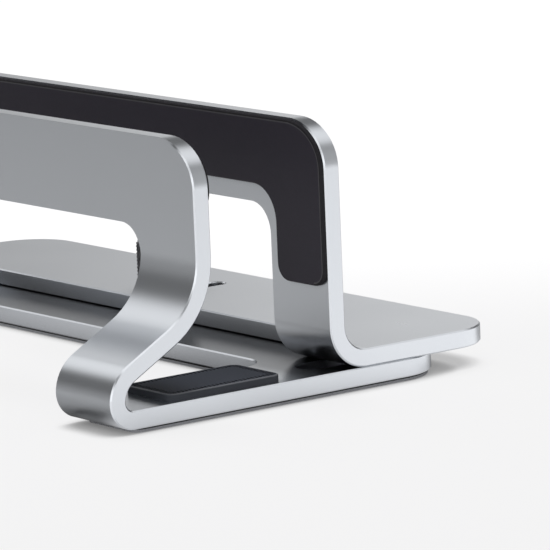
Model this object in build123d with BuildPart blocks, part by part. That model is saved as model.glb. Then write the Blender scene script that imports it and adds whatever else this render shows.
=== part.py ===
from build123d import *
import os

# Vertical laptop stand: a front bracket with the base, and a rear bracket that slides on it and is clamped.
# Millimetres. X runs along the stand, Y from its front to its rear, Z up.
# The origin is at the middle of the stand's underside, with the rear bracket slid all the way back.

os.makedirs("parts", exist_ok=True)

# The sheet that both brackets are bent from
length = 180.0
sheet = 4.0
edge_break = 0.3
corner_across = 12.2
corner_down = 10.2
rear_corner = 13.0

# Heights above the desk
top = 59.4
sole_thick = 1.0

# The windows that leave a leg at each end of both brackets
leg_width = 20.2
bar_depth = 19.6
window_corner = 6.7
foot_window_corner = 4.0

# The bends of the front bracket, from the base round the toe, up the ramp and into the upright
toe_radius = 6.1
toe_turn = 98.0
heel_radius = 9.2
ramp_angle = 29.0
ramp_length = 12.1
neck_radius = 16.2

# The rear bracket and its slide
widest_gap = 30.8
travel = 14.0
rear_bend = 9.64
foot_depth = 48.4
foot_window_depth = 13.8

# The base
base_behind = 34.1
base_window_ahead = 2.0

# Rubber on the uprights and under the laptop
pad_thick = 1.0
pad_edge = 0.3
rear_pad_inset = 0.3
front_pad_inset = 1.0
bar_above_window = 4.3
pad_leg_gap = 3.5
pad_above_bend = 9.1
pad_leg_corner = 3.7
pad_inner_corner = 7.9
front_pad_corner = 4.0
rest_length = 29.8
rest_width = 17.0
rest_thick = 1.65
rest_corner = 2.4
rest_rim = 0.4
rest_side_gap = 1.2
rest_under_bend = 1.5

# The rubber sole
sole_inset = 0.8
sole_front_corner = 2.0

# The clamp: knurled knob, washer and stud
knob_radius = 6.85
knob_height = 11.8
knob_rim = 0.6
groove_count = 24
groove_depth = 0.4
washer_radius = 6.0
washer_thick = 1.0
stud_radius = 1.95
stud_in_knob = 8.0
clamp_behind = 22.0

# The guides: a shoulder screw in each slot of the base
guide_radius = 3.45
guide_inset = 9.7
guide_behind = 16.4
screw_radius = 2.0
screw_in_foot = 3.0
key_width = 3.0
key_depth = 1.6

# Clearances
run_clear = 0.3
seat_clear = 0.1
past = 1.0

# Levels and places that follow from the sizes above
base_top = sole_thick + sheet
foot_top = base_top + sheet
window_width = length - 2 * leg_width
window_top = top - bar_depth
pad_bar_bottom = window_top + bar_above_window
pad_leg_end = base_top + rear_bend + pad_above_bend

with BuildLine() as bends:
    toe = JernArc((0, 0), (-1, 0), toe_radius, -toe_turn)
    heel = JernArc(toe @ 1, toe % 1, heel_radius, toe_turn + ramp_angle - 180)
    ramp = Line(heel @ 1, heel @ 1 + (heel % 1) * ramp_length)
    neck = JernArc(ramp @ 1, ramp % 1, neck_radius, 90 - ramp_angle)

toe_reach = toe_radius + (neck @ 1).X
rear_face = (toe_reach + sheet + widest_gap - foot_depth) / 2
front_face = rear_face - widest_gap
toe_place = front_face - sheet - (neck @ 1).X
base_rear = rear_face + base_behind
foot_rear = rear_face + foot_depth
clamp_place = rear_face + clamp_behind
guide_place = rear_face + guide_behind
guide_aside = length / 2 - guide_inset
rest_aside = length / 2 - rest_side_gap - rest_width / 2
rest_rear = rear_face - travel + rest_under_bend
knob_bottom = foot_top + washer_thick
guide_bottom = sole_thick + run_clear


def upright_view(inset, bottom):
    """An upright's outline seen from the front: straight sides and elliptical top corners, down to the bottom."""
    side = length / 2 - inset
    across = corner_across - inset
    down = corner_down - inset
    with BuildSketch(Plane.XZ) as view:
        with BuildLine():
            Line((side, bottom), (side, top - inset - down))
            EllipticalCenterArc((side - across, top - inset - down), across, down, start_angle=0, arc_size=90)
            Line((side - across, top - inset), (across - side, top - inset))
            EllipticalCenterArc((across - side, top - inset - down), across, down, start_angle=90, arc_size=90)
            Polyline((-side, top - inset - down), (-side, bottom), (side, bottom))
        make_face()
    return view.sketch


def window_view(face):
    """A bracket's window seen from the front, on the upright's rear or front face at that Y."""
    with BuildSketch(Plane.XZ.offset(-face)) as view:
        with Locations((0, window_top)):
            Rectangle(window_width, window_top + past, align=(Align.CENTER, Align.MAX))
        fillet(view.vertices().group_by(Axis.Y)[-1], window_corner)
    return view.sketch


def plan_with_rear_corners(width, front, rear, corner, level):
    """A rectangle seen from above at that level, from the front to the rear, with its two rear corners rounded."""
    with BuildSketch(Plane.XY.offset(level)) as plan:
        with Locations((0, rear)):
            Rectangle(width, rear - front, align=(Align.CENTER, Align.MAX))
        fillet(plan.vertices().group_by(Axis.Y)[-1], corner)
    return plan.sketch


def sharp_edges(solid):
    """The edges where two faces meet at an angle, without the smooth seams between a bend and its flats."""
    sharp = ShapeList()
    faces = solid.faces()
    for edge in solid.edges():
        middle = edge @ 0.5
        normals = [face.normal_at(middle) for face in faces if edge in face.edges()]
        if len(normals) == 2 and normals[0].get_angle(normals[1]) > 20:
            sharp.append(edge)
    return sharp


# Front bracket: the base, the toe, the ramp and the front upright are one bent sheet, 4 mm thick.
# Its window is cut through the upright, the ramp, the toe and the base, so each end stands on a bent leg.
with BuildPart() as base_bracket:
    with BuildSketch(Plane.YZ) as side_view:
        with BuildLine() as under_face:
            base_line = Line((base_rear, sole_thick), (toe_place, sole_thick))
            toe = JernArc(base_line @ 1, base_line % 1, toe_radius, -toe_turn)
            heel = JernArc(toe @ 1, toe % 1, heel_radius, toe_turn + ramp_angle - 180)
            ramp = Line(heel @ 1, heel @ 1 + (heel % 1) * ramp_length)
            neck = JernArc(ramp @ 1, ramp % 1, neck_radius, 90 - ramp_angle)
            Line(neck @ 1, ((neck @ 1).X, top))
            offset(amount=sheet, side=Side.RIGHT)
        make_face()
    extrude(amount=length / 2, both=True)
    extrude(upright_view(0, 0), amount=length, both=True, mode=Mode.INTERSECT)
    plan = plan_with_rear_corners(length, -length, base_rear, rear_corner, 0)
    extrude(plan, amount=top, mode=Mode.INTERSECT)
    extrude(window_view(front_face), amount=toe_reach + sheet + past, mode=Mode.SUBTRACT)
    window_rear = rear_face - base_window_ahead
    plan = plan_with_rear_corners(window_width, toe_place - toe_reach, window_rear, window_corner, base_top)
    extrude(plan, amount=-sheet, mode=Mode.SUBTRACT)
    with BuildSketch(Plane.XY.offset(base_top)):
        with Locations((guide_aside, guide_place - travel / 2), (-guide_aside, guide_place - travel / 2)):
            SlotCenterToCenter(travel, 2 * (guide_radius + run_clear), rotation=90)
    extrude(amount=-sheet, mode=Mode.SUBTRACT)
    chamfer(sharp_edges(base_bracket.part), edge_break)
    with Locations((0, clamp_place, base_top)):
        Hole(stud_radius + run_clear, sheet)

# Rear bracket: the sliding upright and its foot, bent from the same sheet, lying flat on the base
with BuildPart() as rear_bracket:
    with BuildSketch(Plane.YZ) as side_view:
        with BuildLine() as under_face:
            foot_line = Line((foot_rear, base_top), (rear_face + rear_bend, base_top))
            bend = JernArc(foot_line @ 1, foot_line % 1, rear_bend, -90)
            Line(bend @ 1, ((bend @ 1).X, top))
            offset(amount=sheet, side=Side.RIGHT)
        make_face()
    extrude(amount=length / 2, both=True)
    extrude(upright_view(0, 0), amount=length, both=True, mode=Mode.INTERSECT)
    plan = plan_with_rear_corners(length, -length, foot_rear, rear_corner, 0)
    extrude(plan, amount=top, mode=Mode.INTERSECT)
    extrude(window_view(rear_face + rear_bend), amount=rear_bend + past, mode=Mode.SUBTRACT)
    window_rear = rear_face + foot_window_depth
    plan = plan_with_rear_corners(window_width, rear_face - past, window_rear, foot_window_corner, foot_top)
    extrude(plan, amount=-sheet, mode=Mode.SUBTRACT)
    with BuildSketch(Plane.XY.offset(foot_top)):
        with Locations((0, clamp_place + travel / 2)):
            SlotCenterToCenter(travel, 2 * (stud_radius + run_clear), rotation=90)
    extrude(amount=-sheet, mode=Mode.SUBTRACT)
    chamfer(sharp_edges(rear_bracket.part), edge_break)
    with BuildSketch(Plane.XY.offset(base_top)):
        with Locations((guide_aside, guide_place), (-guide_aside, guide_place)):
            Circle(screw_radius + seat_clear)
    extrude(amount=screw_in_foot + seat_clear, mode=Mode.SUBTRACT)

# Rubber arch on the rear upright: a bar above the window and a leg down each side of it
with BuildPart() as rear_pad:
    with BuildSketch(Plane.XZ.offset(-rear_face)) as pad_view:
        add(upright_view(rear_pad_inset, pad_leg_end))
        with Locations((0, pad_bar_bottom)):
            Rectangle(window_width + 2 * pad_leg_gap, pad_bar_bottom, align=(Align.CENTER, Align.MAX), mode=Mode.SUBTRACT)
        inner = pad_view.vertices().filter_by_position(Axis.Y, pad_bar_bottom - 1, pad_bar_bottom + 1)
        fillet(inner, pad_inner_corner)
        fillet(pad_view.vertices().group_by(Axis.Y)[0], pad_leg_corner)
    extrude(amount=pad_thick)
    fillet(rear_pad.faces().sort_by(Axis.Y)[0].edges(), pad_edge)

# Rubber bar on the front upright, facing the laptop
with BuildPart() as front_pad:
    with BuildSketch(Plane.XZ.offset(-front_face)) as pad_view:
        add(upright_view(front_pad_inset, pad_bar_bottom))
        fillet(pad_view.vertices().group_by(Axis.Y)[0], front_pad_corner)
    extrude(amount=-pad_thick)
    fillet(front_pad.faces().sort_by(Axis.Y)[-1].edges(), pad_edge)


def rest_pad(side):
    """Rubber pad on the base at one end, between the uprights, that the laptop's lower edge stands on."""
    with BuildPart() as pad:
        with BuildSketch(Plane.XY.offset(base_top)):
            with Locations((side * rest_aside, rest_rear - rest_length / 2)):
                RectangleRounded(rest_width, rest_length, rest_corner)
        extrude(amount=rest_thick)
        chamfer(pad.faces().sort_by(Axis.Z)[-1].edges(), rest_rim)
    return pad.part


# Rubber sole under the flat of the base, set in a little from its outline and open under its window
with BuildPart() as sole:
    sole_front = toe_place + sole_inset
    plan = plan_with_rear_corners(length - 2 * sole_inset, sole_front, base_rear - sole_inset, rear_corner - sole_inset, 0)
    extrude(plan, amount=sole_thick)
    hole = plan_with_rear_corners(
        window_width + 2 * sole_inset,
        sole_front - past,
        rear_face - base_window_ahead + sole_inset,
        window_corner + sole_inset,
        0,
    )
    extrude(hole, amount=sole_thick, mode=Mode.SUBTRACT)
    fillet(sole.edges().filter_by(Axis.Z).group_by(Axis.Y)[0], sole_front_corner)

# Clamp: a knurled knob with a chamfered rim, on a stud that passes the foot's slot and screws into the base
with BuildPart() as clamp_knob:
    with Locations((0, clamp_place, knob_bottom)):
        Cylinder(knob_radius, knob_height, align=(Align.CENTER, Align.CENTER, Align.MIN))
    chamfer(clamp_knob.faces().sort_by(Axis.Z)[-1].edges(), knob_rim)
    with BuildSketch(Plane.XY.offset(knob_bottom)):
        with Locations((0, clamp_place)):
            with PolarLocations(knob_radius, groove_count):
                RegularPolygon(groove_depth, 4)
    extrude(amount=knob_height, mode=Mode.SUBTRACT)
    with BuildSketch(Plane.XY.offset(knob_bottom)):
        with Locations((0, clamp_place)):
            Circle(stud_radius + seat_clear)
    extrude(amount=stud_in_knob + seat_clear, mode=Mode.SUBTRACT)

with BuildPart() as clamp_stud:
    with BuildSketch(Plane.XY.offset(guide_bottom)):
        with Locations((0, clamp_place)):
            Circle(stud_radius)
    extrude(amount=knob_bottom + stud_in_knob - guide_bottom)

with BuildPart() as clamp_washer:
    with BuildSketch(Plane.XY.offset(foot_top)):
        with Locations((0, clamp_place)):
            Circle(washer_radius)
            Circle(stud_radius + seat_clear, mode=Mode.SUBTRACT)
    extrude(amount=washer_thick)


def guide_screw(side):
    """Shoulder screw from below: its shoulder fills the base's slot and its thread is in the foot."""
    with BuildPart() as screw:
        with BuildSketch(Plane.XY.offset(guide_bottom)):
            with Locations((side * guide_aside, guide_place)):
                Circle(guide_radius)
                RegularPolygon(key_width / 2, 6, major_radius=False, mode=Mode.SUBTRACT)
        extrude(amount=key_depth)
        with BuildSketch(Plane.XY.offset(guide_bottom + key_depth)):
            with Locations((side * guide_aside, guide_place)):
                Circle(guide_radius)
        extrude(amount=base_top - guide_bottom - key_depth)
        with BuildSketch(Plane.XY.offset(base_top)):
            with Locations((side * guide_aside, guide_place)):
                Circle(screw_radius)
        extrude(amount=screw_in_foot)
    return screw.part


parts = {
    "base_bracket": base_bracket.part,
    "rear_bracket": rear_bracket.part,
    "rear_pad": rear_pad.part,
    "front_pad": front_pad.part,
    "base_pad_right": rest_pad(1),
    "base_pad_left": rest_pad(-1),
    "sole": sole.part,
    "clamp_knob": clamp_knob.part,
    "clamp_stud": clamp_stud.part,
    "clamp_washer": clamp_washer.part,
    "guide_screw_right": guide_screw(1),
    "guide_screw_left": guide_screw(-1),
}

for name, part in parts.items():
    part.label = name
    export_step(part, f"parts/{name}.step")
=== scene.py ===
import math

import bpy
import numpy as np
from mathutils import Matrix, Vector


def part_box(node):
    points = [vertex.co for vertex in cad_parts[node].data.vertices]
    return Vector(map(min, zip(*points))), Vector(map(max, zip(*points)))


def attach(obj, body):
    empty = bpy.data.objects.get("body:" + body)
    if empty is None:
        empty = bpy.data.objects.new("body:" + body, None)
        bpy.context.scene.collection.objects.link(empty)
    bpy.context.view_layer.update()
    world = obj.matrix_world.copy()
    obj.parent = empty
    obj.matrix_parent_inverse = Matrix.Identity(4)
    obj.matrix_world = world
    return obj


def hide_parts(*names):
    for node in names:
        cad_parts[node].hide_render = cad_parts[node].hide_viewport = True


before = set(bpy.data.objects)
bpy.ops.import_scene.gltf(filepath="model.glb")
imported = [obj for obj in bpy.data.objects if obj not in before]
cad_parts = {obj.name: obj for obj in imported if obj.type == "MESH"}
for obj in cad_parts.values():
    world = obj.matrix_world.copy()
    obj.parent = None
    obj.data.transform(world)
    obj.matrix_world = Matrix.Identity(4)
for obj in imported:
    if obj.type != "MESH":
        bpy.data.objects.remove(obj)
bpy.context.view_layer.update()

# The camera: it stands far off to the front right, a little above the stand, with a long lens.
# It sees the stand as the photograph does, with the left end out of the picture.
scene = bpy.context.scene
scene.view_settings.view_transform = "Standard"
camera_place = (0.865857, -0.594641, 0.20036)
camera_azimuth = 52.97
camera_elevation = 10.03
camera_roll = -2.39


def turned_frame(azimuth, elevation, roll):
    """Right, up and back of a view, from three angles in degrees.

    Back points from the object to the viewer, and right and up turn about it by roll.
    """
    a, e, r = (math.radians(v) for v in (azimuth, elevation, roll))
    back = Vector((math.sin(a) * math.cos(e), -math.cos(a) * math.cos(e), math.sin(e)))
    level = Vector((math.cos(a), math.sin(a), 0))
    lift = back.cross(level)
    right = level * math.cos(r) + lift * math.sin(r)
    up = lift * math.cos(r) - level * math.sin(r)
    return right, up, back


lens = bpy.data.cameras.new("photo_lens")
lens.sensor_width = 36.0
lens.lens = 304.63
lens.clip_start = 0.05
lens.clip_end = 50.0
camera = bpy.data.objects.new("photo_camera", lens)
view_axes = Matrix(turned_frame(camera_azimuth, camera_elevation, camera_roll)).transposed()
camera.matrix_world = Matrix.Translation(camera_place) @ view_axes.to_4x4()
scene.collection.objects.link(camera)
scene.camera = camera

# The room: dim walls with broad soft boxes, and white wherever the camera sees past the floor.
# Each box stands in a direction where the photograph's metal shows its light.


class Signal:
    """A socket's value that varies over a surface: arithmetic on it adds Math nodes to its tree."""

    def __init__(self, tree, socket):
        self.tree = tree
        self.socket = socket

    def math(self, operation, *values):
        """The result of a Math node whose inputs are those values, in their order."""
        sockets = {str(number): value for number, value in enumerate(values)}
        return self.tree.node("ShaderNodeMath", {"operation": operation}, **sockets)

    def __add__(self, other):
        return self.math("ADD", self, other)

    def __radd__(self, other):
        return self.math("ADD", other, self)

    def __sub__(self, other):
        return self.math("SUBTRACT", self, other)

    def __rsub__(self, other):
        return self.math("SUBTRACT", other, self)

    def __mul__(self, other):
        return self.math("MULTIPLY", self, other)

    def __rmul__(self, other):
        return self.math("MULTIPLY", other, self)

    def __truediv__(self, other):
        return self.math("DIVIDE", self, other)

    def __neg__(self):
        return self.math("SUBTRACT", 0.0, self)

    def __abs__(self):
        return self.math("ABSOLUTE", self)

    def at_least(self, other):
        return self.math("MAXIMUM", self, other)

    def at_most(self, other):
        return self.math("MINIMUM", self, other)

    def through(self, operation):
        """This value put through a Math operation that takes one number, such as SINE."""
        return self.math(operation, self)

    def step(self, low, high):
        """0 below low and 1 above high, with a smooth rise between them."""
        sockets = {"Value": self, "From Min": low, "From Max": high}
        return self.tree.node("ShaderNodeMapRange", {"interpolation_type": "SMOOTHSTEP"}, **sockets)

    def fall(self, low, high):
        """1 below low and 0 above high, with a smooth fall between them."""
        return 1.0 - self.step(low, high)

    def band(self, rise, fall):
        """0, then 1 from the end of the rise to the start of the fall, then 0: each is a pair of values."""
        return self.step(*rise) * self.fall(*fall)

    def climb(self, low, high, start):
        """The start below low and 1 above high, with a smooth rise between them."""
        return self.step(low, high) * (1.0 - start) + start

    def measure(self, operation, place):
        """A number from this vector and a fixed one: their DISTANCE or their DOT_PRODUCT."""
        sockets = {"0": self, "1": tuple(place)}
        return self.tree.node("ShaderNodeVectorMath", {"operation": operation}, take="Value", **sockets)

    def part(self, axis):
        """One axis of a vector, as a number."""
        return self.tree.node("ShaderNodeSeparateXYZ", {}, take=axis, Vector=self)


class Tree:
    """The nodes of a material or of the world."""

    def __init__(self, owner):
        owner.use_nodes = True
        self.owner = owner
        self.nodes = owner.node_tree.nodes
        self.links = owner.node_tree.links

    def node(self, kind, settings, take=0, **sockets):
        """Adds a node of that kind and returns one of its outputs.

        Its settings are set first, and then its sockets get their values or links.
        """
        made = self.nodes.new(kind)
        for name, value in settings.items():
            setattr(made, name, value)
        self.fill(made, **sockets)
        return Signal(self, made.outputs[take])

    def fill(self, made, **sockets):
        """Gives a node's sockets their values or links, by name or by number."""
        for name, value in sockets.items():
            socket = made.inputs[int(name)] if name.isdigit() else made.inputs[name]
            if isinstance(value, Signal):
                self.links.new(value.socket, socket)
            else:
                socket.default_value = value


world = bpy.data.worlds.new("soft_room")
scene.world = world
sky = Tree(world)
to_sky = sky.node("ShaderNodeTexCoord", {}, take="Generated")
sky_seen = sky.node("ShaderNodeLightPath", {}, take="Is Camera Ray")


def soft_box(direction, inner, outer, level):
    """A round soft box: its level within inner degrees of that direction, falling to nothing at outer."""
    cosine = to_sky.measure("DOT_PRODUCT", Vector(direction).normalized())
    return cosine.step(math.cos(math.radians(outer)), math.cos(math.radians(inner))) * level


wall_level = 0.15
left_box = soft_box((-0.79, -0.09, 0.60), 4, 22, 0.93)
rear_box = soft_box((0.06, 0.59, 0.80), 9, 27, 0.85)
right_box = soft_box((0.78, 0.60, 0.20), 12, 42, 0.30)
far_box = soft_box((-0.79, 0.59, 0.08), 6, 19, 0.39)
corner_box = soft_box((-0.67, 0.73, 0.16), 4, 16, 0.48)
low_box = soft_box((-0.78, -0.62, 0.02), 1, 12, 0.22)
front_box = soft_box((0.60, -0.80, 0.05), 12, 34, 1.30)
top_box = soft_box((0.48, -0.10, 0.87), 8, 23, 1.20)
high_box = soft_box((0.12, -0.68, 0.72), 8, 24, 1.10)
side_light = left_box + rear_box + right_box + far_box + corner_box + low_box
room_light = side_light + front_box + top_box + high_box + wall_level
backdrop = sky.nodes["Background"]
sky.fill(backdrop, Strength=room_light * (1.0 - sky_seen) + sky_seen, Color=(1.0, 1.0, 1.0, 1.0))

# The lamp: one square soft lamp, high above the stand and a little to its rear left.
# It gives the stand its shadow, and the metal doesn't mirror it.
lamp_place = Vector((-0.25, 0.16, 1.20))
lamp = bpy.data.lights.new("high_lamp", "AREA")
lamp.size = 0.45
lamp.energy = 12.0
lamp_holder = bpy.data.objects.new("high_lamp", lamp)
lamp_holder.visible_glossy = False
towards_stand = (-lamp_place).to_track_quat("-Z", "Y").to_matrix()
lamp_holder.matrix_world = Matrix.Translation(lamp_place) @ towards_stand.to_4x4()
scene.collection.objects.link(lamp_holder)

# The floor: pale paper that brightens to white behind the stand.
# One glow of it shows only to the camera, and patches of another, painted light, show only in reflections.
mm = 0.001
floor_reach = 9.0
floor_corners = [
    (-floor_reach, -floor_reach, 0),
    (floor_reach, -floor_reach, 0),
    (floor_reach, floor_reach, 0),
    (-floor_reach, floor_reach, 0),
]
floor_mesh = bpy.data.meshes.new("floor")
floor_mesh.from_pydata(floor_corners, [], [(0, 1, 2, 3)])
floor = bpy.data.objects.new("floor", floor_mesh)
scene.collection.objects.link(floor)


def finish_of(name, color, **sockets):
    """A new material whose shader has that colour, as three numbers, and those socket values."""
    tree = Tree(bpy.data.materials.new(name))
    tree.shader = tree.nodes["Principled BSDF"]
    tree.fill(tree.shader, **{"Base Color": (*color, 1.0)}, **sockets)
    return tree


def place_on(tree):
    """Where a point of the object is, in metres, in the frame of the CAD."""
    return tree.node("ShaderNodeTexCoord", {}, take="Object")


def openness(tree, reach, samples):
    """How open a point is within that reach: 1 where nothing stands over it, and 0 where all is covered."""
    return tree.node("ShaderNodeAmbientOcclusion", {"samples": samples}, take="AO", Distance=reach)


def between(share, low, high):
    """A colour or a vector that goes from low to high as the share goes from 0 to 1."""
    low, high = (v if isinstance(v, Signal) else (*v, 1.0) for v in (low, high))
    sockets = {"0": share, "6": low, "7": high}
    return share.tree.node("ShaderNodeMix", {"data_type": "RGBA"}, take=2, **sockets)


paper = finish_of("floor_paper", (0.4, 0.4, 0.4), Roughness=0.9)
floor_mesh.materials.append(paper.owner)
paper_seen = paper.node("ShaderNodeLightPath", {}, take="Is Camera Ray")
paper_in_metal = paper.node("ShaderNodeLightPath", {}, take="Is Glossy Ray")
spot = place_on(paper)
to_right = spot.part("X")
to_rear = spot.part("Y")

# What the camera sees: a glow that rises behind the stand. It falls in two steps close under the stand's
# edges, and further under the foot's rear end: painted shadow.
into_picture = (-0.798, 0.602, 0.0)
front_glow = 0.82
rear_glow = 0.95
edge_shade = 0.38
contact_shade = 0.5
foot_shade = 0.6
close_open = openness(paper, 6.8 * mm, 16)
painted_edge_shadow = close_open.climb(0.25, 0.80, edge_shade) * close_open.climb(0.02, 0.25, contact_shade)
painted_foot_shadow = to_rear.step(34 * mm, 44 * mm) * (1.0 - painted_edge_shadow) * foot_shade
behind_stand = spot.measure("DOT_PRODUCT", into_picture).step(-30 * mm, 160 * mm)
glow_seen = (front_glow + behind_stand * (rear_glow - front_glow)) * painted_edge_shadow * (1.0 - painted_foot_shadow)

# Painted light that only the metal mirrors: patches of glow on the paper past the right end, close behind,
# under the left half and in the left half of the window, before the window's rear wall, and at the contact
# under the toe.
end_glow = 0.59
corner_glow = 0.10
corner_slant = 0.6
close_glow = 0.28
left_glow = 0.10
window_glow = 0.12
wall_glow = 0.26
toe_glow = 0.16
past_corner = (to_rear - to_right * corner_slant).step(-55 * mm, -25 * mm)
past_end = to_right.step(78 * mm, 91 * mm) * (past_corner * corner_glow + end_glow)
close_behind = to_rear.band((40 * mm, 50 * mm), (62 * mm, 80 * mm)) * to_right.fall(80 * mm, 100 * mm)
left_half = to_right.fall(0.0, 40 * mm)
under_left = left_half * to_rear.band((-120 * mm, -80 * mm), (20 * mm, 40 * mm))
in_window = left_half * to_rear.band((-46 * mm, -40 * mm), (20 * mm, 40 * mm))
by_wall = to_rear.band((-26 * mm, -14 * mm), (1 * mm, 4 * mm)) * to_right.fall(50 * mm, 66 * mm)
glow_in_window = under_left * left_glow + in_window * window_glow + by_wall * wall_glow
wide_open = openness(paper, 70 * mm, 16)
under_toe = to_rear.fall(-52 * mm, -44 * mm) * wide_open.fall(0.20, 0.70)
painted_light_in_metal = past_end + close_behind * close_glow + glow_in_window + under_toe * toe_glow

# Away from the camera the paper's colour is painted darker where the stand stands close over it: painted
# shade.
shade_painted_paper = (0.08, 0.08, 0.08)
open_paper = (0.375, 0.375, 0.375)
seen_paper = (0.06, 0.06, 0.06)
shaded_paper = between(wide_open.step(0.60, 1.0), shade_painted_paper, open_paper)
paper_color = between(paper_seen, shaded_paper, seen_paper)
glow = glow_seen * paper_seen + painted_light_in_metal * paper_in_metal
paper_glow = between(glow, (0.0, 0.0, 0.0), (0.997, 0.995, 1.0))
paper.fill(paper.shader, **{"Base Color": paper_color})
paper.fill(paper.shader, **{"Emission Color": paper_glow, "Emission Strength": 1.0})

# Brackets: two bent sheets of aluminium, blasted to a fine even grain and then anodised to a satin finish.
# The front one runs from the base round a toe and a heel, up a ramp and round a neck into its upright.
# The rear one lies on the base with its foot, slides on it, and turns upright in one bend.


def noise_at(spot, scale, detail):
    """Noise from 0 to 1 at each point, with that many cells to a metre."""
    return spot.tree.node("ShaderNodeTexNoise", {}, take="Fac", Vector=spot, Scale=scale, Detail=detail)


def relief_of(height, strength, depth, **sockets):
    """The normal of a surface with a fine relief: a height of 1 stands for that depth in metres."""
    return height.tree.node("ShaderNodeBump", {}, Height=height, Strength=strength, Distance=depth, **sockets)


anodised = finish_of("bracket_metal", (0.730, 0.757, 0.795), Metallic=1.0)
spot = place_on(anodised)
grain = noise_at(spot, 4200.0, 2.0)
patches = noise_at(spot, 38.0, 3.0)
to_rear = spot.part("Y")
height = spot.part("Z")
base_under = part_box("base_bracket")[0][2]
foot_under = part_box("rear_bracket")[0][2]
toe_radius = 6.1 * mm
toe_turn = 98
heel_radius = 9.2 * mm
ramp_angle = 29
ramp_length = 12.1 * mm
ramp_swell = 0.062
neck_radius = 16.2 * mm
rear_radius = 9.64 * mm


def front_rise(height):
    """The upward part of the front sheet's outward normal at a height: the least of its stretches'.

    On the toe and on the heel it is the height over the bend's middle, divided by the bend's radius. On the
    ramp it is the cosine of the ramp's angle, and a little more where the ramp swells. On the neck it is the
    depth under the bend's middle, divided by its radius, and 0 above that. So the face turns without a break.
    """
    toe_middle = base_under + toe_radius
    heel_middle = toe_middle + (toe_radius - heel_radius) * math.sin(math.radians(toe_turn - 90))
    lean = math.cos(math.radians(ramp_angle))
    ramp_foot = heel_middle + heel_radius * lean
    ramp_rise = ramp_length * math.sin(math.radians(ramp_angle))
    ramp_head = ramp_foot + ramp_rise
    neck_middle = ramp_head + neck_radius * lean
    swell_top = ramp_foot + ramp_rise * 0.56
    swell_end = ramp_head + ramp_rise * 0.12
    toe = (height - toe_middle) / toe_radius
    heel = (height - heel_middle) / heel_radius
    ramp = lean + height.band((ramp_foot, swell_top), (swell_top, swell_end)) * ramp_swell
    neck = ((neck_middle - height) / neck_radius).at_least(0.0)
    return toe.at_most(heel).at_most(ramp).at_most(neck)


def rear_rise(height):
    """The same for the rear sheet: minus the depth under its bend's middle, by its radius, and 0 above."""
    return ((height - foot_under - rear_radius) / rear_radius).at_least(-1.0).at_most(0.0)


at_rear = to_rear.step(-24 * mm, -23 * mm)
rise = front_rise(height) * (1.0 - at_rear) + rear_rise(height) * at_rear
forward = (1.0 - rise * rise).through("SQRT")
bent_normal = anodised.node("ShaderNodeCombineXYZ", {}, X=0.0, Y=-forward, Z=rise)
flat_normal = anodised.node("ShaderNodeNewGeometry", {}, take="Normal")
off_ends = abs(flat_normal.part("X")).fall(0.2, 0.4)
faces_front = (-flat_normal.part("Y")).step(0.02, 0.10) * off_ends
on_bend = to_rear.fall(13.8 * mm, 14.4 * mm) * height.step(foot_under, foot_under + 0.2 * mm)
outer_face = faces_front * (1.0 - at_rear + at_rear * on_bend)
turned_normal = between(outer_face, flat_normal, bent_normal)

# The uprights' upper corners are quarter ellipses. The normal of one is the way from its middle, with the
# level part scaled by the square of its height over its width.
corner_radii = (12.2 * mm, 10.2 * mm)
upright_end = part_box("base_bracket")[1]
to_right = spot.part("X")
aside = abs(to_right) - (upright_end[0] - corner_radii[0])
aloft = height - (upright_end[2] - corner_radii[1])
level_part = aside.at_least(0.0) * (corner_radii[1] / corner_radii[0]) ** 2 * to_right.through("SIGN")
corner_normal = anodised.node("ShaderNodeCombineXYZ", {}, X=level_part, Y=0.0, Z=aloft.at_least(0.0))
corner_normal = anodised.node("ShaderNodeVectorMath", {"operation": "NORMALIZE"}, **{"0": corner_normal})
corner_start = (-0.6 * mm, -0.4 * mm)
on_edge = abs(flat_normal.part("Y")).fall(0.05, 0.10)
in_corner = on_edge * aside.step(*corner_start) * aloft.step(*corner_start)
turned_normal = between(in_corner, turned_normal, corner_normal)
relief = relief_of(grain, 0.03, 0.2 * mm, Normal=turned_normal)

# Painted shade: the metal is darker deep in the corner of foot, base and rear bend, and on the base's top
# behind its window.
# A nearly black band along the bottom of the foot's window wall is painted shadow, standing for the gap that
# shows there.
open_metal = (0.730, 0.757, 0.795)
crevice_shade_metal = (0.33, 0.34, 0.36)
base_top_shade_metal = (0.33, 0.342, 0.363)
base_crevice_shade_metal = (0.18, 0.187, 0.198)
gap_shadow_black = (0.03, 0.03, 0.035)
in_crevice = openness(anodised, 12 * mm, 6).fall(0.35, 0.85) * at_rear * off_ends
faces_up = flat_normal.part("Z").step(0.90, 0.97)
on_base = faces_up * height.fall(foot_under + 0.1 * mm, foot_under + 0.3 * mm) * to_rear.step(-6 * mm, 1 * mm)
foot_wall = faces_front * to_rear.band((14.4 * mm, 15 * mm), (24 * mm, 25 * mm))
gap_rise = (foot_under - 0.02 * mm, foot_under)
gap_fall = (foot_under + 0.30 * mm, foot_under + 0.42 * mm)
bracket_color = between(in_crevice, open_metal, crevice_shade_metal)
bracket_color = between(on_base, bracket_color, between(in_crevice, base_top_shade_metal, base_crevice_shade_metal))
bracket_color = between(foot_wall * height.band(gap_rise, gap_fall), bracket_color, gap_shadow_black)
satin = 0.265 + patches * 0.03
anodised.fill(anodised.shader, **{"Base Color": bracket_color}, Roughness=satin, Normal=relief)
for name in ("base_bracket", "rear_bracket"):
    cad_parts[name].data.materials[0] = anodised.owner

# Facings: two sheets of black silicone rubber, 1 mm thick, with a soft arris towards the laptop.
# They are glued to the uprights' inner faces: a bar at the front, an arch with two legs at the rear.


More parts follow.
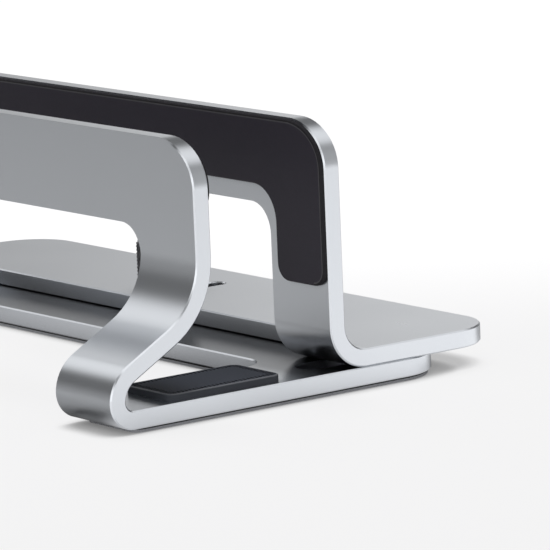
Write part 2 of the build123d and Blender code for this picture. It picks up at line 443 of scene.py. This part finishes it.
def rounded_outline(corners, radii, steps):
    """A closed outline of level and upright runs, counterclockwise, with a quarter ellipse at each corner.

    For t from 0 to 90 degrees the point is the corner, less the way in times its radius times 1 - sin t, plus
    the way out times its radius times 1 - cos t. A corner's radii are those along each of the two axes.
    Returns the points, the outward direction at each, and the distance along the outline.
    """
    corners = np.array(corners, float)
    way_in = corners - np.roll(corners, 1, axis=0)
    way_in /= np.abs(way_in).sum(axis=1, keepdims=True)
    way_out = np.roll(way_in, -1, axis=0)
    radii = np.array(radii, float)
    run_in = (way_in * np.sum(np.abs(way_in) * radii, axis=1, keepdims=True))[:, None]
    run_out = (way_out * np.sum(np.abs(way_out) * radii, axis=1, keepdims=True))[:, None]
    t = np.linspace(0, math.pi / 2, steps)[None, :, None]
    points = (corners[:, None] - run_in * (1 - np.sin(t)) + run_out * (1 - np.cos(t))).reshape(-1, 2)
    along = (run_in * np.cos(t) + run_out * np.sin(t)).reshape(-1, 2)
    along /= np.linalg.norm(along, axis=1, keepdims=True)
    outward = np.stack([along[:, 1], -along[:, 0]], axis=1)
    lengths = np.linalg.norm(np.diff(points, axis=0, append=points[:1]), axis=1)
    return points, outward, np.concatenate([[0], np.cumsum(lengths)])


def skin(name, points, faces):
    """A mesh object from points and lists of faces, smooth except over edges sharper than 40 degrees."""
    mesh = bpy.data.meshes.new(name)
    mesh.from_pydata(points.reshape(-1, 3).tolist(), [], faces)
    mesh.shade_smooth()
    mesh.set_sharp_from_angle(angle=math.radians(40))
    piece = bpy.data.objects.new(name, mesh)
    scene.collection.objects.link(piece)
    return piece


def lattice(rows, columns):
    """The four-sided faces of a grid that closes on itself along its rows: row after row of point numbers."""
    row, column = np.mgrid[0 : rows - 1, 0:columns]
    after = (column + 1) % columns
    start, end = row * columns, (row + 1) * columns
    return np.stack([start + column, start + after, end + after, end + column], -1)


def edge_round(thick, radius, steps):
    """A sheet's edge as rows of inset and height: up its wall, then a quarter circle onto its face."""
    t = np.linspace(0, math.pi / 2, steps)
    turn = np.stack([radius * (1 - np.cos(t)), thick - radius * (1 - np.sin(t))], axis=1)
    return np.vstack([[[0, 0]], turn])


def moulded_sheet(name, outline, section, origin, axes, sunk=0.0):
    """A sheet whose every row is the outline moved inwards by the section's inset and up by its height.

    The point is the origin, plus the outline's point less outward times inset along the first two axes, plus
    height less the depth it is sunk by along the third. One flat face closes the first row, and one the last.
    """
    points, outward = outline[:2]
    flat = points[None] - outward[None] * section[:, 0, None, None]
    lifted = (section[:, 1, None] - sunk + np.zeros(flat.shape[:2]))[..., None]
    placed = np.array(origin) + np.concatenate([flat, lifted], axis=2) @ np.array(axes, float)
    rows, columns = flat.shape[:2]
    walls = lattice(rows, columns).reshape(-1, 4).tolist()
    face = list(range((rows - 1) * columns, rows * columns))
    return skin(name, placed, walls + [list(range(columns))[::-1], face])


def ring_map(piece, section, along):
    """Gives a moulded sheet its ring map: a measure along each ring, and the inset in millimetres across."""
    rows, columns = len(section), len(along) - 1
    across = section[:, 0] / mm
    row, column = np.mgrid[0 : rows - 1, 0:columns]
    ends = [(row, column), (row, column + 1), (row + 1, column + 1), (row + 1, column)]
    walls = np.stack([np.stack([along[c], across[r]], -1) for r, c in ends], axis=2).reshape(-1, 2)
    closing = np.full((2 * columns, 2), across[-1])
    piece.data.uv_layers.new(name="ring").uv.foreach_set("vector", np.vstack([walls, closing]).ravel())


# A facing is duller on its walls, and painted blacker there as shade. A fine painted highlight line runs
# round it, a little inside its outer side, and outside that line it has the walls' painted shade. The outer
# side ends at 1 on the ring map, and the arch's inner side has no line.
face_blacks = ((0.028, 0.024, 0.037), (0.035, 0.029, 0.045))
wall_shade_black = (0.008, 0.007, 0.010)
highlight_line_grey = (0.110, 0.105, 0.115)
pad_rubber = finish_of("pad_rubber", (0.02, 0.02, 0.02), **{"Specular IOR Level": 0.5})
spot = place_on(pad_rubber)
grain = noise_at(spot, 2600.0, 2.0)
clouds = noise_at(spot, 30.0, 2.0)
on_face = abs(pad_rubber.node("ShaderNodeTexCoord", {}, take="Normal").part("Y")).step(0.55, 0.95)
ring_place = pad_rubber.node("ShaderNodeUVMap", {"uv_map": "ring"}, take="UV")
inset = ring_place.part("Y")
outer_side = ring_place.part("X").fall(0.99, 1.0)
past_line = 1.0 - outer_side * inset.fall(0.50, 0.65)
on_highlight_line = outer_side * inset.band((0.42, 0.54), (0.68, 0.80))
black = between(on_face * past_line, wall_shade_black, between(clouds, *face_blacks))
black = between(on_highlight_line, black, highlight_line_grey)
dullness = 0.46 + grain * 0.10 + (1.0 - on_face) * 0.3
relief = relief_of(grain, 0.10, 0.1 * mm)
pad_rubber.fill(pad_rubber.shader, **{"Base Color": black}, Roughness=dullness, Normal=relief)

arris = 0.3 * mm
arris_steps = 7
line_inset = 0.6 * mm
turn_steps = 14


def upper_radii(inset):
    """The radii of a facing's upper corners, which follow the upright's own corners at that inset."""
    return (corner_radii[0] - inset, corner_radii[1] - inset)


front_inset = 1.0 * mm
bar_radius = 4.0 * mm
low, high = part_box("front_pad")
half, thick = high[0], high[1] - low[1]
line_rows = [(line_inset - 0.2 * mm, thick), (line_inset + 0.4 * mm, thick)]
section = np.vstack([edge_round(thick, arris, arris_steps), line_rows])
bar_end = (bar_radius, bar_radius)
upper_end = upper_radii(front_inset)
bar_corners = [(half, low[2]), (half, high[2]), (-half, high[2]), (-half, low[2])]
bar = rounded_outline(bar_corners, [bar_end, upper_end, upper_end, bar_end], turn_steps)
towards_rear = [(-1, 0, 0), (0, 0, 1), (0, 1, 0)]
front_facing = moulded_sheet("front_facing", bar, section, (0, low[1], 0), towards_rear)
all_outer = 0.9
ring_map(front_facing, section, bar[2] / bar[2][-1] * all_outer)

rear_inset = 0.3 * mm
leg_inside = 73.3 * mm
arch_bottom = 44.1 * mm
leg_radius = 3.7 * mm
inner_radius = 7.9 * mm
low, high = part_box("rear_pad")
half = high[0]
leg_end = (leg_radius, leg_radius)
inner_end = (inner_radius, inner_radius)
upper_end = upper_radii(rear_inset)
outside = [(half, low[2]), (half, high[2]), (-half, high[2]), (-half, low[2])]
inside = [(-leg_inside, low[2]), (-leg_inside, arch_bottom), (leg_inside, arch_bottom), (leg_inside, low[2])]
arch_radii = [leg_end, upper_end, upper_end, leg_end, leg_end, inner_end, inner_end, leg_end]
arch = rounded_outline(outside + inside, arch_radii, turn_steps)
towards_front = [(1, 0, 0), (0, 0, 1), (0, -1, 0)]
rear_facing = moulded_sheet("rear_facing", arch, section, (0, high[1], 0), towards_front)
ring_map(rear_facing, section, arch[2] / arch[2][len(outside) * turn_steps - 1])

for piece, node, body in ((front_facing, "front_pad", "base"), (rear_facing, "rear_pad", "slider")):
    piece.data.materials.append(pad_rubber.owner)
    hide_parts(node)
    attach(piece, body)

# Rests: two pads of dark moulded rubber, glued to the base's ends, which a laptop's lower edge stands on.
# A row of small slits, moulded like the holes of a seam, runs round each, a little inside its upper edge.
rest_corner = 2.4 * mm
rest_round = 0.35 * mm
stitch_pitch = 1.03 * mm
stitch_steps = 8
slit_steps = (3, 4, 5)
slit_depth = 0.3 * mm
seam_insets = np.array([0.85, 0.90, 2.15, 2.20, 2.35]) * mm
slit_rows = (-4, -3)
top_dark = (0.030, 0.034, 0.045)
wall_dark = (0.064, 0.070, 0.084)
slit_shade_black = (0.002, 0.002, 0.002)
highlight_grey = (0.12, 0.125, 0.14)
rest_rubber = finish_of("rest_rubber", (0.03, 0.03, 0.03))
grain = noise_at(place_on(rest_rubber), 2400.0, 2.0)
ring_place = rest_rubber.node("ShaderNodeUVMap", {"uv_map": "ring"}, take="UV")
inset = ring_place.part("Y")
off_middle = abs(ring_place.part("X").through("FRACT") - 0.5)
# The slits are painted nearly black, as the shade inside them.
slit = off_middle.fall(0.22, 0.27) * inset.band((0.82, 0.90), (2.15, 2.22))
# The arris is glossier, and its colour is painted lighter there as a highlight.
arris_highlight = inset.band((0.0, 0.05), (0.36, 0.46))
dark = between(inset.fall(0.0, 0.03), top_dark, wall_dark)
dark = between(slit * 0.9 + grain * 0.1, dark, slit_shade_black)
dark = between(arris_highlight, dark, highlight_grey)
rest_rubber.fill(rest_rubber.shader, **{"Base Color": dark, "Specular IOR Level": 0.4})
rest_rubber.fill(rest_rubber.shader, Roughness=0.78 - arris_highlight * 0.50, Normal=relief_of(grain, 0.15, 0.1 * mm))


def even_steps(outline, columns):
    """The same outline with that many points, at even distances along it."""
    points, outward, gone = outline
    even = np.linspace(0, gone[-1], columns + 1)
    spread = [np.interp(even, gone, np.append(line, line[0])) for line in (*points.T, *outward.T)]
    straight = np.stack(spread[2:], axis=1)[:-1]
    straight /= np.linalg.norm(straight, axis=1, keepdims=True)
    return np.stack(spread[:2], axis=1)[:-1], straight, even


upwards = [(1, 0, 0), (0, 1, 0), (0, 0, 1)]
for side in ("right", "left"):
    low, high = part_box("base_pad_" + side)
    tall = high[2] - low[2]
    plan = [(high[0], low[1]), (high[0], high[1]), (low[0], high[1]), (low[0], low[1])]
    rectangle = rounded_outline(plan, [(rest_corner, rest_corner)] * len(plan), turn_steps)
    stitches = round(rectangle[2][-1] / stitch_pitch)
    ring = even_steps(rectangle, stitches * stitch_steps)
    seam_rows = [(seam_inset, tall) for seam_inset in seam_insets]
    section = np.vstack([edge_round(tall, rest_round, arris_steps), seam_rows])
    sunk = np.zeros((len(section), stitches, stitch_steps))
    for row in slit_rows:
        sunk[row][:, slit_steps] = slit_depth
    depths = sunk.reshape(len(section), -1)
    rest = moulded_sheet("rest_" + side, ring, section, (0, 0, low[2]), upwards, depths)
    ring_map(rest, section, ring[2] / ring[2][-1] * stitches)
    rest.data.materials.append(rest_rubber.owner)
    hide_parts("base_pad_" + side)
    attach(rest, "base")

# Sole: a thin sheet of grey rubber glued under the base, set in a little from its edge.
# Its cut edge is painted nearly black along the top, as the shadow of the gap under the base's edge.
sole_grey = (0.66, 0.67, 0.71)
sole_shadow_black = (0.01, 0.01, 0.012)
sole_rubber = finish_of("sole_rubber", sole_grey)
spot = place_on(sole_rubber)
grain = noise_at(spot, 1800.0, 3.0)
shadow_line = spot.part("Z").step(0.55 * mm, 0.63 * mm)
grey = between(shadow_line * 0.92 + grain * 0.08, sole_grey, sole_shadow_black)
relief = relief_of(grain, 0.3, 0.1 * mm)
sole_rubber.fill(sole_rubber.shader, **{"Base Color": grey}, Roughness=0.65 + grain * 0.15, Normal=relief)
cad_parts["sole"].data.materials[0] = sole_rubber.owner

# Knob: the dark anodised head of a thumb screw, with a diamond knurl between two plain rims and a dished top.
# It turns with its stud, which holds in the base, and clamps the foot to the base through the washer.
low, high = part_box("clamp_knob")
axis_x, axis_y = (low[0] + high[0]) / 2, (low[1] + high[1]) / 2
radius = (high[0] - low[0]) / 2
tall = high[2] - low[2]
knurl_around = 26
knurl_up = 6
knurl_steps = 8
knurl_depth = 0.42 * mm
rim = 0.9 * mm
rim_end = 0.98 * rim
rim_chamfer = 0.35 * mm
dish_radius = 5.3 * mm
dish_depth = 0.5 * mm
dish_middle = 0.4 * mm
top_ring_pitch = 0.22 * mm


def rings_round(from_axis, pitch):
    """The fine rings that turning leaves, as a wave of that pitch in the distance from the axis."""
    return (from_axis * (2 * math.pi / pitch)).through("SINE")


knob_metal = finish_of("knob_metal", (0.20, 0.20, 0.21), Metallic=1.0)
spot = place_on(knob_metal)
grain = noise_at(spot, 3000.0, 2.0)
from_axis = spot.measure("DISTANCE", (axis_x, axis_y, high[2]))
on_top = spot.part("Z").step(high[2] - 0.8 * mm, high[2] - 0.5 * mm)
relief = relief_of(grain + rings_round(from_axis, top_ring_pitch) * on_top, 0.2, 0.05 * mm)
knob_metal.fill(knob_metal.shader, Roughness=0.30 + grain * 0.12, Normal=relief)


def knurled_side():
    """Rows of radius against angle, and their heights: two slanted zigzags cut diamonds into a cylinder.

    A zigzag is twice the distance of its argument from the nearest whole number. One argument is the count
    of diamonds round plus the count up, the other their difference. The radius is the knob's, less the depth
    times 1 minus the lesser zigzag.
    """
    around = np.arange(knurl_around * knurl_steps) / knurl_steps
    up_count = np.arange(knurl_up * knurl_steps + 1) / knurl_steps
    a, b = np.meshgrid(up_count, around, indexing="ij")
    zigzags = [2 * np.abs(v - np.round(v)) for v in (b + a, b - a)]
    return radius - knurl_depth * (1 - np.minimum(*zigzags)), rim + up_count / knurl_up * (tall - 2 * rim)


cut, heights = knurled_side()
columns = cut.shape[1]
rim_radius = radius - knurl_depth
below = [(rim_radius - rim_chamfer, 0), (rim_radius, rim_chamfer), (rim_radius, rim_end)]
above = [
    (rim_radius, tall - rim_end),
    (rim_radius, tall - rim_chamfer),
    (rim_radius - rim_chamfer, tall),
    (dish_radius, tall),
    (dish_radius - dish_depth, tall - dish_depth),
    (dish_radius / 2, tall - dish_depth),
    (dish_middle, tall - dish_depth),
]
rows_below = [np.full((1, columns), r) for r, z in below]
rows_above = [np.full((1, columns), r) for r, z in above]
radii = np.vstack(rows_below + [cut] + rows_above)
levels = np.concatenate([[z for r, z in below], heights, [z for r, z in above]])
turned = np.arange(columns) * (2 * math.pi / columns)
lifted = low[2] + np.broadcast_to(levels[:, None], radii.shape)
points = np.stack([axis_x + radii * np.cos(turned), axis_y + radii * np.sin(turned), lifted], -1)
last = (len(levels) - 1) * columns
closing = [list(range(columns))[::-1], list(range(last, last + columns))]
knurled_knob = skin("knurled_knob", points, lattice(len(levels), columns).reshape(-1, 4).tolist() + closing)
knurled_knob.data.materials.append(knob_metal.owner)
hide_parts("clamp_knob")
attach(knurled_knob, "clamp")

# Stud, washer and guide screws: plated steel, turned on a lathe, so fine rings run round each axis.
# The stud passes the foot's slot into the base, and each guide screw's shoulder runs in a slot of the base.
steel_ring_pitch = 0.18 * mm
for name in ("clamp_stud", "clamp_washer", "guide_screw_right", "guide_screw_left"):
    low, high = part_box(name)
    steel = finish_of("steel_" + name, (0.56, 0.56, 0.58), Metallic=1.0)
    spot = place_on(steel)
    grain = noise_at(spot, 3000.0, 2.0)
    from_axis = spot.measure("DISTANCE", ((low[0] + high[0]) / 2, (low[1] + high[1]) / 2, high[2]))
    relief = relief_of(grain + rings_round(from_axis, steel_ring_pitch), 0.2, 0.03 * mm)
    steel.fill(steel.shader, Roughness=0.26 + grain * 0.10, Normal=relief)
    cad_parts[name].data.materials[0] = steel.owner
